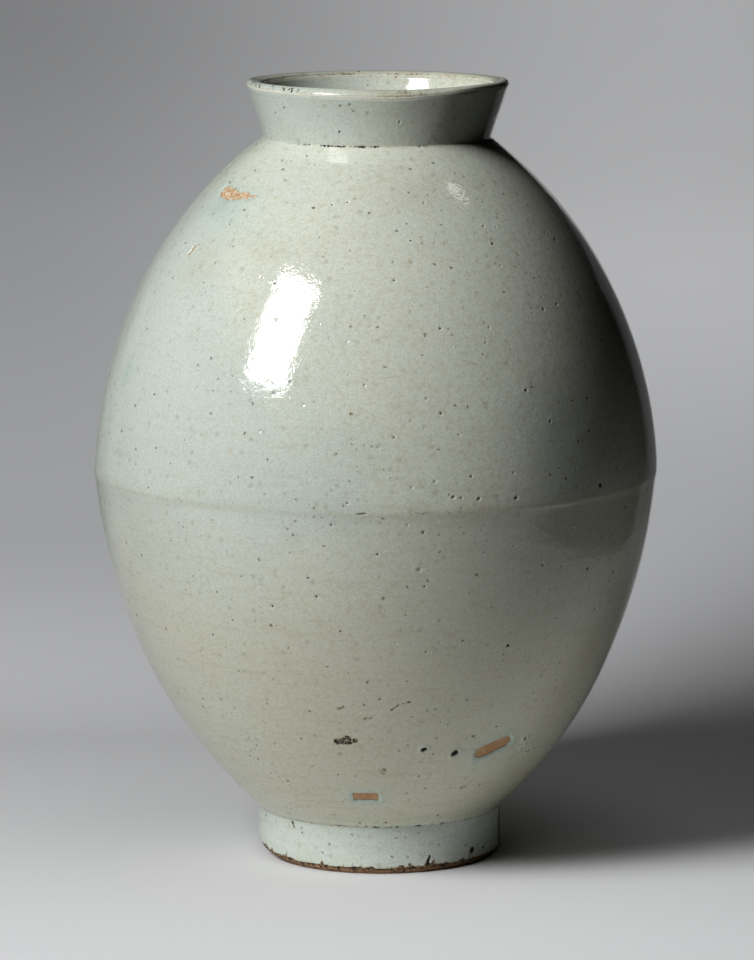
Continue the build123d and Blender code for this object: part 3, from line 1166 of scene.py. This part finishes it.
def maths(operation, first, second=0.0):
    """One sum on two values."""
    return node(first.id_data, "ShaderNodeMath", {0: first, 1: second}, operation=operation).outputs[0]


def plus(*values):
    """Values added up."""
    return reduce(partial(maths, "ADD"), values)


def times(*values):
    """Values multiplied."""
    return reduce(partial(maths, "MULTIPLY"), values)


def most(*values):
    """The largest of some values."""
    return reduce(partial(maths, "MAXIMUM"), values)


def fade(value, start, end, low=0.0, high=1.0):
    """A soft step of a value, from low at the start to high at the end."""
    inputs = {"Value": value, "From Min": start, "From Max": end, "To Min": low, "To Max": high}
    made = node(value.id_data, "ShaderNodeMapRange", inputs, interpolation_type="SMOOTHSTEP")
    return made.outputs["Result"]


def blended(share, first, second):
    """Two colours, mixed by a share."""
    inputs = {0: share, **dict(zip(MIX_COLOURS, (first, second)))}
    return node(share.id_data, "ShaderNodeMix", inputs, data_type="RGBA").outputs[MIX_RESULT]


def axes(place):
    """A place's three coordinates."""
    return node(place.id_data, "ShaderNodeSeparateXYZ", {0: place}).outputs


def noise(place, scale, detail, rough):
    """Cloudy values round a half."""
    inputs = {"Vector": place, "Scale": scale, "Detail": detail, "Roughness": rough}
    return node(place.id_data, "ShaderNodeTexNoise", inputs).outputs[0]


def spots(place, scale, size, soft, share):
    """Round spots at random places: 1 inside, 0 outside.

    The size in metres is the largest one, and a share says how many cells have a spot.
    """
    cells = node(place.id_data, "ShaderNodeTexVoronoi", {"Vector": place, "Scale": scale}).outputs
    chance, grade, _ = node(place.id_data, "ShaderNodeSeparateColor", {0: cells["Color"]}).outputs
    gap = maths("DIVIDE", cells["Distance"], fade(grade, 0.0, 1.0, SPOT_LEAST, 1.0))
    inside_spot = fade(gap, size * scale * (1 + soft), size * scale * (1 - soft))
    return times(inside_spot, maths("LESS_THAN", chance, share))


def shaken(place, scale, detail, amount):
    """Places moved about by a noise, so that what is drawn there gets ragged."""
    tree = place.id_data
    clouds = node(tree, "ShaderNodeTexNoise", {"Vector": place, "Scale": scale, "Detail": detail})
    inputs = {0: clouds.outputs["Color"], 1: MIDDLE}
    push = node(tree, "ShaderNodeVectorMath", inputs, operation="SUBTRACT").outputs[0]
    push = node(tree, "ShaderNodeVectorMath", {0: push, "Scale": amount}, operation="SCALE").outputs[0]
    return node(tree, "ShaderNodeVectorMath", {0: place, 1: push}, operation="ADD").outputs[0]


def stretched(place, factors):
    """Places scaled by factors along the axes."""
    return node(place.id_data, "ShaderNodeMapping", {"Vector": place, "Scale": factors}).outputs[0]


def roughened(shader, height):
    """Gives a shader the relief of a height in metres."""
    bump = node(shader.id_data, "ShaderNodeBump", {"Height": height, "Distance": 1.0, "Strength": 1.0})
    feed(shader, "Normal", bump.outputs[0])


def material(name):
    """A new material, its shader and its object coordinates."""
    made = bpy.data.materials.new(name)
    made.use_nodes = True
    place = node(made.node_tree, "ShaderNodeTexCoord").outputs["Object"]
    return made, made.node_tree.nodes["Principled BSDF"], place


# Materials. A fade is (start, end) or (start, end, low, high), with places in metres
# A noise is (scale, detail, roughness), and spots are (scale, size, softness, share)

# The glaze's tint
BLUE_WHITE = (0.612, 0.682, 0.628, 1)
WARM_WHITE = (0.712, 0.754, 0.655, 1)
BEIGE = (0.602, 0.608, 0.494, 1)
POOL_GREEN = (0.455, 0.590, 0.540, 1)
# Painted shade: the grey laid in a band under the belly seam
PAINTED_SEAM_SHADE = (0.370, 0.368, 0.305, 1)
CLOUDS = (9.0, 4.0, 0.6)
BLUE_LEFT = (0.05, -0.13, 0.0, 0.34)
BLUE_BELLY = (0.36, 0.30, 0.0, 0.14)
BLUE_SEAM = (0.205, 0.235)
BLUE_NECK = (0.414, 0.420, 0.0, 0.16)
BLUE_FOOT = (0.032, 0.026, 0.0, 0.3)
BLUE_CLOUDS = (0.60, 0.98)
BEIGE_TOP = (0.235, 0.12)
BEIGE_END = (0.026, 0.034)
BEIGE_IN_BLUE = (0.0, 1.0, 0.95, 0.6)
# Where the painted shade under the belly seam lies: its heights, and its reach right of the middle and at the
# far left
PAINTED_SEAM_SHADE_TOP = (0.2245, 0.2215, 0.0, 0.30)
PAINTED_SEAM_SHADE_END = (0.12, 0.20)
PAINTED_SEAM_SHADE_RIGHT = (-0.045, 0.04)
PAINTED_SEAM_SHADE_LEFT = (-0.08, -0.14, 0.0, 0.8)
POOLED = 0.8


def glaze_tint(place, pool):
    """The glaze's slow changes: blue to the left and about the belly, beige below it, green in pools, and
    painted shade: a grey band under the belly seam, right of the middle and at the far left.
    """
    across, _, up = axes(place)
    belly = times(fade(up, *BLUE_BELLY), fade(up, *BLUE_SEAM))
    ends = plus(fade(up, *BLUE_NECK), fade(up, *BLUE_FOOT))
    blue = fade(plus(fade(across, *BLUE_LEFT), belly, ends, noise(place, *CLOUDS)), *BLUE_CLOUDS)
    colour = blended(blue, WARM_WHITE, BLUE_WHITE)
    beige = times(fade(up, *BEIGE_TOP), fade(up, *BEIGE_END), fade(blue, *BEIGE_IN_BLUE))
    colour = blended(beige, colour, BEIGE)
    # Painted shade: grey in a band under the belly seam, right of the middle and at the far left, where the
    # lower bowl turns away from the light
    seam_shade_sides = plus(fade(across, *PAINTED_SEAM_SHADE_RIGHT), fade(across, *PAINTED_SEAM_SHADE_LEFT))
    colour = blended(times(fade(up, *PAINTED_SEAM_SHADE_TOP), fade(up, *PAINTED_SEAM_SHADE_END), seam_shade_sides), colour, PAINTED_SEAM_SHADE)
    return blue, blended(times(pool, POOLED), colour, POOL_GREEN)


# The glaze's grain, lines and specks
TAN = (0.380, 0.345, 0.215, 1)
OCHRE = (0.500, 0.440, 0.240, 1)
OLIVE = (0.240, 0.225, 0.140, 1)
DUST = (0.150, 0.140, 0.085, 1)
ORANGE = (0.480, 0.330, 0.190, 1)
SPECK_BROWN = (0.120, 0.068, 0.032, 1)
DRIFT = (22.0, 3.0, 0.55)
DRIFT_STRETCH = (1, 1, 2.2)
DRIFT_AMOUNT = 0.16
BLUE_THINS = (0.0, 1.0, 0.0, -0.05)
GRAIN_STRETCH = (1, 1, 1.2)
MOTTLE = (300.0, 4.0, 0.7)
OCHRED = (0.51, 0.84, 0.0, 0.42)
GRAIN = (850.0, 3.0, 0.8)
DUSTED = (0.30, 0.72, 0.0, 0.27)
WHEEL = (260.0, 2.0, 0.5)
WHEEL_STRETCH = (0.12, 0.12, 1.0)
WHEEL_LINES = (0.50, 0.75)
WHEEL_LOW = (0.30, 0.20, 0.08, 0.20)
SHAKE = (800.0, 2.0, 0.0030)
FRECKLES = (170.0, 0.0013, 0.9, 0.5)
FRECKLED = 0.36
RUST = (60.0, 0.0017, 0.7, 0.5)
RUSTED = 0.35
SPECKS = (130.0, 0.0009, 0.4, 0.6)
SPECKED = 0.8
SWARM_CLOUDS = (18.0, 2.0, 0.5)
SWARMED = (0.55, 0.68, 0.0, 0.8)
SWARM = (260.0, 0.0008, 0.4, 0.5)


def glaze_flecks(place, blue, colour):
    """A fine tan grain, thinner where the glaze is blue, lines from the wheel, freckles and brown specks."""
    *_, up = axes(place)
    drift = times(noise(stretched(place, DRIFT_STRETCH), *DRIFT), DRIFT_AMOUNT)
    grained = stretched(place, GRAIN_STRETCH)
    ochred = fade(plus(noise(grained, *MOTTLE), drift, fade(blue, *BLUE_THINS)), *OCHRED)
    colour = blended(ochred, colour, OCHRE)
    colour = blended(fade(noise(grained, *GRAIN), *DUSTED), colour, DUST)
    lines = fade(noise(stretched(place, WHEEL_STRETCH), *WHEEL), *WHEEL_LINES)
    colour = blended(times(lines, fade(up, *WHEEL_LOW)), colour, TAN)
    ragged = shaken(place, *SHAKE)
    colour = blended(times(spots(ragged, *FRECKLES), FRECKLED), colour, OLIVE)
    colour = blended(times(spots(ragged, *RUST), RUSTED), colour, ORANGE)
    swarm = times(fade(noise(place, *SWARM_CLOUDS), *SWARMED), spots(ragged, *SWARM))
    return blended(most(times(spots(ragged, *SPECKS), SPECKED), swarm), colour, SPECK_BROWN)


# The glaze's relief, as noises with their heights in metres
WAVES = [((75.0, 1.0, 0.5), 0.00010), ((270.0, 2.0, 0.6), 0.00012), ((800.0, 2.0, 0.6), 0.000032)]
WHEEL_WAVES = (150.0, 2.0, 0.5)
WHEEL_WAVES_STRETCH = (0.1, 0.1, 1.0)
WHEEL_WAVES_HEIGHT = 0.00005
PINHOLES = 120.0
CRATERS = (PINHOLES, 0.0010, 0.7, 0.35)
CRATER_HEIGHT = -0.0003


def glaze_relief(place):
    """The glaze's skin: wavy, faintly lined by the wheel, with fine orange peel and open pinholes."""
    waves = [times(noise(place, *wave), height) for wave, height in WAVES]
    wheel = times(noise(stretched(place, WHEEL_WAVES_STRETCH), *WHEEL_WAVES), WHEEL_WAVES_HEIGHT)
    return plus(*waves, wheel, times(spots(place, *CRATERS), CRATER_HEIGHT))


# The glaze's stains and pits
IRON_BROWN = (0.130, 0.065, 0.026, 1)
PIT_BLACK = (0.012, 0.009, 0.007, 1)
STAIN_FLECKS = (520.0, 4.0, 0.7)
STAIN_SPREAD = 0.40
STAINED = (0.74, 0.98)
STAIN_START = (0.02, 0.3)
STAIN_TAN = 0.55
HOLES = (PINHOLES, 0.0006, 0.5, 0.3)
PIT_GRIT = (900.0, 2.0, 0.6)
PIT_RAGGED = (0.35, 0.65, -0.35, 0.35)
PITTED = (0.42, 0.70)
DULLED = (0.1, 0.7, 0.055, 0.9)
GLAZE_IOR = 1.52


def glaze_material():
    """Glossy blue-white glaze with warm clouds, iron stains, specks, pinholes and a wavy skin."""
    made, shader, place = material("glaze")
    painted = node(made.node_tree, "ShaderNodeAttribute", attribute_name="marks").outputs["Color"]
    stain, pool, dark = node(made.node_tree, "ShaderNodeSeparateColor", {0: painted}).outputs
    blue, colour = glaze_tint(place, pool)
    colour = glaze_flecks(place, blue, colour)
    stained = fade(plus(noise(place, *STAIN_FLECKS), times(stain, STAIN_SPREAD)), *STAINED)
    stained = times(stained, fade(stain, *STAIN_START))
    colour = blended(times(stain, STAIN_TAN), colour, TAN)
    colour = blended(stained, colour, IRON_BROWN)
    colour = blended(spots(place, *HOLES), colour, PIT_BLACK)
    dark = fade(plus(dark, fade(noise(place, *PIT_GRIT), *PIT_RAGGED)), *PITTED)
    feed(shader, "Base Color", blended(dark, colour, PIT_BLACK))
    feed(shader, "Roughness", fade(most(stained, dark), *DULLED))
    feed(shader, "IOR", GLAZE_IOR)
    roughened(shader, glaze_relief(place))
    return made


BARE_ORANGE = (0.46, 0.255, 0.125, 1)
BARE_PALE = (0.52, 0.32, 0.17, 1)
BARE_FROST = (0.72, 0.64, 0.48, 1)
BARE_DARK = (0.30, 0.15, 0.07, 1)
CLAY_CLOUDS = (160.0, 3.0, 0.6)
CLAY_PALED = (0.42, 0.66)
CRYSTALS = (700.0, 3.0, 0.7)
CRYSTALS_SHOW = (0.46, 0.60)
CRYSTALS_HIGH = (0.28, 0.34)
CLAY_GRAINS = (520.0, 0.0009, 0.5, 0.4)
CLAY_GRAINED = 0.6
CLAY_RELIEF = (900.0, 4.0, 0.7)
CLAY_HEIGHT = 0.0004
CLAY_ROUGH = 0.85


def clay_material():
    """Bare fired clay: orange-brown, matt and grainy, and frosted on the shoulder."""
    made, shader, place = material("bare_clay")
    colour = blended(fade(noise(place, *CLAY_CLOUDS), *CLAY_PALED), BARE_ORANGE, BARE_PALE)
    *_, up = axes(place)
    frosted = times(fade(up, *CRYSTALS_HIGH), fade(noise(place, *CRYSTALS), *CRYSTALS_SHOW))
    colour = blended(frosted, colour, BARE_FROST)
    colour = blended(times(spots(place, *CLAY_GRAINS), CLAY_GRAINED), colour, BARE_DARK)
    feed(shader, "Base Color", colour)
    feed(shader, "Roughness", CLAY_ROUGH)
    roughened(shader, times(noise(place, *CLAY_RELIEF), CLAY_HEIGHT))
    return made


FOOT_BROWN = (0.25, 0.140, 0.066, 1)
FOOT_SCORCH = (0.025, 0.015, 0.010, 1)
FOOT_PALE = (0.40, 0.26, 0.15, 1)
FOOT_CLOUDS = (240.0, 4.0, 0.65)
FOOT_PALED = (0.5, 0.7)
SCORCH = (430.0, 4.0, 0.7)
SCORCH_HEM = (0.0014, 0.0036, 0.0, 0.05)
SCORCHED = (0.50, 0.62)
SCORCH_HEIGHT = 0.0006
FOOT_ROUGH = 0.9


def foot_material():
    """The bare foot edge: brown, scorched and gritty."""
    made, shader, place = material("foot_clay")
    colour = blended(fade(noise(place, *FOOT_CLOUDS), *FOOT_PALED), FOOT_BROWN, FOOT_PALE)
    scorch = noise(place, *SCORCH)
    *_, up = axes(place)
    dark = fade(plus(scorch, fade(up, *SCORCH_HEM)), *SCORCHED)
    feed(shader, "Base Color", blended(dark, colour, FOOT_SCORCH))
    feed(shader, "Roughness", FOOT_ROUGH)
    roughened(shader, times(scorch, SCORCH_HEIGHT))
    return made


LIP_CLAY = (0.40, 0.30, 0.19, 1)
LIP_PALE = (0.66, 0.65, 0.55, 1)
LIP_CLOUDS = (180.0, 4.0, 0.7)
LIP_BROWN_BACK = (-0.02, 0.03, 0.0, 0.10)
LIP_BROWNED = (0.58, 0.80)
LIP_FLECKS = (620.0, 3.0, 0.6)
LIP_FLECKED = (0.64, 0.74)
LIP_ROUGH = 0.7


def lip_clay_material():
    """Clay that shows where the lip's edges are worn: tan with brown flecks."""
    made, shader, place = material("worn_lip_clay")
    _, back, _ = axes(place)
    cloudy = plus(noise(place, *LIP_CLOUDS), fade(back, *LIP_BROWN_BACK))
    colour = blended(fade(cloudy, *LIP_BROWNED), LIP_PALE, LIP_CLAY)
    feed(shader, "Base Color", blended(fade(noise(place, *LIP_FLECKS), *LIP_FLECKED), colour, IRON_BROWN))
    feed(shader, "Roughness", LIP_ROUGH)
    return made


SLIP_BUFF = (0.58, 0.50, 0.39, 1)
SLIP_GREY = (0.45, 0.38, 0.29, 1)
SLIP_CLOUDS = (220.0, 4.0, 0.6)
SLIP_ROUGH = 0.85


def slip_material():
    """Fired joining slip: buff and matt."""
    made, shader, place = material("slip")
    feed(shader, "Base Color", blended(noise(place, *SLIP_CLOUDS), SLIP_BUFF, SLIP_GREY))
    feed(shader, "Roughness", SLIP_ROUGH)
    return made


# The studio, in metres

CAMERA_PLACE = (0.0, -2.767, 0.659)
CAMERA_DIP = 9.06
CAMERA_SIGHT = 50.0
LENS = 181.05
SENSOR = 36.0
WORLD_GREY = 0.001

# Each softbox's direction, size and watts
LAMPS_AIM = Vector((-0.05, -0.148, 0.32))
LAMPS_AWAY = 1.8
LAMPS = {
    "key": ((-0.623, -0.505, 0.598), (0.64, 0.96), 41.5),
    "back": ((-0.05, 0.95, 0.30), (0.9, 0.9), 7.0),
    "gleam": ((0.18, 0.50, 0.85), (0.5, 0.7), 18.0),
    "spark": ((0.513, 0.166, 0.842), (0.13, 0.17), 0.30),
    "fill": ((0.25, 0.0, 1.0), (1.2, 1.2), 3.3),
}


def camera():
    """The camera, where the photograph was taken from."""
    made = bpy.data.objects.new("camera", bpy.data.cameras.new("camera"))
    made.location = CAMERA_PLACE
    made.rotation_euler = (math.radians(90 - CAMERA_DIP), 0, 0)
    made.data.lens = LENS
    made.data.sensor_width = SENSOR
    made.data.clip_end = CAMERA_SIGHT
    bpy.context.scene.collection.objects.link(made)
    bpy.context.scene.camera = made


def softbox(name, direction, size, watts):
    """A rectangular softbox that faces the jar and that the camera doesn't see."""
    lamp = bpy.data.lights.new(name, "AREA")
    lamp.shape = "RECTANGLE"
    lamp.size, lamp.size_y = size
    lamp.energy = watts
    made = bpy.data.objects.new(name, lamp)
    made.location = LAMPS_AIM + Vector(direction).normalized() * LAMPS_AWAY
    made.rotation_mode = "QUATERNION"
    made.rotation_quaternion = Vector(direction).to_track_quat("Z", "Y")
    made.visible_camera = False
    bpy.context.scene.collection.objects.link(made)
    return made


# The paper's tones at the left and at the right, and how they change over it: painted light and shade, darker
# towards the left, towards both ends of the wall and towards the back of the floor
PAPER_FLOOR = [(0.690, 0.696, 0.710, 1), (0.870, 0.877, 0.892, 1)]
PAPER_LOW = [(0.435, 0.439, 0.450, 1), (0.605, 0.611, 0.628, 1)]
PAPER_MIDDLE = [(0.386, 0.390, 0.399, 1), (0.817, 0.823, 0.838, 1)]
PAPER_HIGH = [(0.288, 0.291, 0.298, 1), (0.740, 0.746, 0.760, 1)]
PAPER_FLOOR_FAR = (0.600, 0.605, 0.617, 1)
PAPER_SIDE_SHADE = (0.200, 0.201, 0.206, 1)
PAPER_SIDES = (-0.30, 0.30)
PAPER_TO_MIDDLE = (0.10, 0.29)
PAPER_TO_HIGH = (0.29, 0.46)
PAPER_TO_SIDE_SHADE = (0.268, 0.31)
PAPER_TO_NEAR = (0.40, -0.25)
PAPER_TO_WALL = (0.0, 0.10)
BOUNCE_NEAR = (0.900, 0.900, 0.890, 1)
BOUNCE_FAR = (0.048, 0.048, 0.048, 1)
BOUNCE_REACH = (0.515, 0.255)
BOUNCE_FRONT = (0.06, -0.06)
BOUNCE_RIGHT = (-0.05, 0.10, 0.9, 1.1)
# Painted shadow: where the paper throws back less light beside the foot's right
PAINTED_FOOT_SHADOW = (0.100, -0.036, 0.0)
PAINTED_FOOT_SHADOW_REACH = (0.035, 0.088, 0.2, 1.0)
PAPER_ROUGH = 0.9
PAPER_SHINE = 0.1


def paper_tones(place):
    """The paper's colour where it is seen, in painted light and shade: a pale floor, and a wall that darkens
    to the left and upwards.
    """
    across, back, up = axes(place)
    rightness = fade(across, *PAPER_SIDES)
    wall = blended(rightness, *PAPER_LOW)
    for span, tones in ((PAPER_TO_MIDDLE, PAPER_MIDDLE), (PAPER_TO_HIGH, PAPER_HIGH)):
        wall = blended(fade(up, *span), wall, blended(rightness, *tones))
    # Painted shade towards both ends of the wall
    wall = blended(fade(maths("ABSOLUTE", across), *PAPER_TO_SIDE_SHADE), wall, PAPER_SIDE_SHADE)
    floor = blended(fade(back, *PAPER_TO_NEAR), PAPER_FLOOR_FAR, blended(rightness, *PAPER_FLOOR))
    return blended(fade(up, *PAPER_TO_WALL), floor, wall)


def paper_bounce(place):
    """The paper's colour where it throws light back: only the part before the jar is pale, and a painted
    shadow darkens it beside the foot's right.
    """
    across, back, _ = axes(place)
    away = node(place.id_data, "ShaderNodeVectorMath", {0: place}, operation="LENGTH").outputs["Value"]
    # A painted shadow: the paper throws back less light beside the foot's right, to keep the foot dark there
    foot_shadow = node(place.id_data, "ShaderNodeVectorMath", {0: place, 1: PAINTED_FOOT_SHADOW}, operation="DISTANCE")
    near = times(fade(away, *BOUNCE_REACH), fade(back, *BOUNCE_FRONT), fade(across, *BOUNCE_RIGHT))
    near = times(near, fade(foot_shadow.outputs["Value"], *PAINTED_FOOT_SHADOW_REACH))
    return blended(near, BOUNCE_FAR, BOUNCE_NEAR)


def paper_material():
    """Matt grey-white paper that lets the camera through from behind and below."""
    made, shader, place = material("paper")
    tree = made.node_tree
    path = node(tree, "ShaderNodeLightPath").outputs
    seen = most(path["Is Camera Ray"], path["Is Glossy Ray"], path["Is Transmission Ray"])
    feed(shader, "Base Color", blended(seen, paper_bounce(place), paper_tones(place)))
    feed(shader, "Roughness", PAPER_ROUGH)
    feed(shader, "Specular IOR Level", PAPER_SHINE)
    behind = node(tree, "ShaderNodeNewGeometry").outputs["Backfacing"]
    clear = node(tree, "ShaderNodeBsdfTransparent").outputs[0]
    mixed = node(tree, "ShaderNodeMixShader", {0: behind, 1: shader.outputs[0], 2: clear})
    feed(tree.nodes["Material Output"], "Surface", mixed.outputs[0])
    return made


PAPER_LEFT = -0.9
PAPER_RIGHT = 0.58
PAPER_FRONT = -1.4
PAPER_BEND_START = 0.30
PAPER_BEND = 0.34
PAPER_BEND_POINTS = 33
PAPER_TOP = 0.475


def paper_sweep():
    """A floor that bends up into a backdrop."""
    angles = np.linspace(0, math.pi / 2, PAPER_BEND_POINTS)
    bend = [(PAPER_BEND_START + PAPER_BEND * math.sin(a), PAPER_BEND * (1 - math.cos(a))) for a in angles]
    run = [(PAPER_FRONT, 0.0), *bend, (PAPER_BEND_START + PAPER_BEND, PAPER_TOP)]
    places = [(x, y, z) for y, z in run for x in (PAPER_LEFT, PAPER_RIGHT)]
    faces = [(2 * i, 2 * i + 1, 2 * i + 3, 2 * i + 2) for i in range(len(run) - 1)]
    mesh = bpy.data.meshes.new("paper_sweep")
    mesh.from_pydata(places, [], faces)
    mesh.shade_smooth()
    mesh.materials.append(paper_material())
    made = bpy.data.objects.new("paper_sweep", mesh)
    PAPER.objects.link(made)


def studio():
    """Camera, lamps, paper and a dark room."""
    camera()
    _, back, gleam, spark, fill = [softbox(name, *lamp) for name, lamp in LAMPS.items()]
    back.light_linking.receiver_collection = JAR
    fill.light_linking.receiver_collection = PAPER
    for lamp in (gleam, spark):
        lamp.light_linking.receiver_collection = GLEAMING
        lamp.visible_diffuse = False
    for lamp in (back, gleam, spark):
        lamp.light_linking.blocker_collection = JAR
    for lamp in (back, fill):
        lamp.visible_glossy = False
    paper_sweep()
    world = bpy.data.worlds.new("dark_room")
    world.use_nodes = True
    feed(world.node_tree.nodes["Background"], "Color", (WORLD_GREY, WORLD_GREY, WORLD_GREY, 1))
    bpy.context.scene.world = world
    bpy.context.scene.view_settings.view_transform = "Standard"


# Putting the jar together

JAR = bpy.data.collections.new("jar")
bpy.context.scene.collection.children.link(JAR)
GLEAMING = bpy.data.collections.new("gleaming")
PAPER = bpy.data.collections.new("paper")
bpy.context.scene.collection.children.link(PAPER)
GLAZE_LOOK = glaze_material()
CLAY_LOOK = clay_material()
SLIP_LOOK = slip_material()
HIDDEN_CLAY = ("lower_bowl", "upper_bowl")
HIDDEN_SLIP = ("belly_slip", "neck_slip", "foot_slip")

PIECES = [
    (outer_glaze(), "outer_glaze", "glaze", GLAZE_LOOK),
    (lip_glaze(), "lip_glaze", "glaze", GLAZE_LOOK),
    (inner_glaze(), "inner_glaze", "glaze", GLAZE_LOOK),
    (base_glaze(), "base_glaze", "glaze", GLAZE_LOOK),
    (neck_collar(), "neck_collar", "clay", lip_clay_material()),
    (foot_ring(), "foot_ring", "clay", foot_material()),
]
PIECES += [(thrown_copy(f"{name}_clay", name), name, "clay", CLAY_LOOK) for name in HIDDEN_CLAY]
PIECES += [(thrown_copy(f"{name}_layer", name), name, "slip", SLIP_LOOK) for name in HIDDEN_SLIP]
for piece, node_name, slot_name, look in PIECES:
    piece.data.materials.append(look)
    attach(piece, "root")
    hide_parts(node_name)
GLEAMING.objects.link(PIECES[0][0])

studio()
